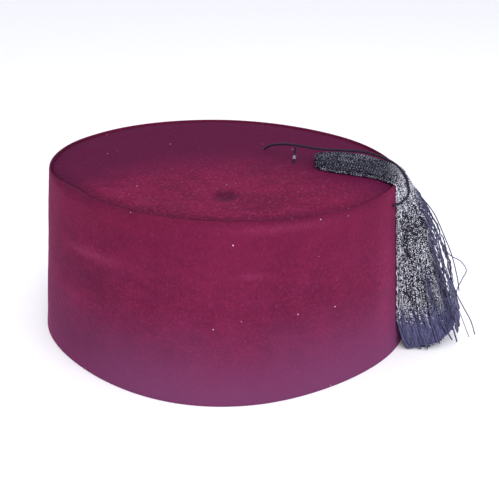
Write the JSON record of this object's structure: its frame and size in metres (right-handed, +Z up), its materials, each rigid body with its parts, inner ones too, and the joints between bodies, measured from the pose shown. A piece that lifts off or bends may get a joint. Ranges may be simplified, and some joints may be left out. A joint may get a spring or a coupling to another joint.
{
  "type": "fez hat",
  "caption": "Burgundy velvet fez with a tapered oval side wall, a flat crown set just below its edge, a black thread tassel over the back edge and a thin black cord with a short stem.",
  "frame": {"origin": "centre of the head opening, in the plane of the bottom rim", "axes": "+Z up through the crown, +X towards the back of the head where the tassel falls, along the oval's long way, +Y across"},
  "size_m": [0.2249, 0.18, 0.0975],
  "materials": {
    "burgundy_velvet": "short matt velvet pile",
    "crown_velvet": "short matt velvet pile",
    "black_thread": "glossy twisted rayon threads",
    "black_cord": "dull twisted cord",
    "grey_thread": "dull wrapped thread"
  },
  "bodies": {
    "root": {"side_wall": "burgundy_velvet", "crown": "crown_velvet", "tassel": "black_thread", "cord": "black_cord", "stem": "grey_thread"}
  },
  "joints": []
}
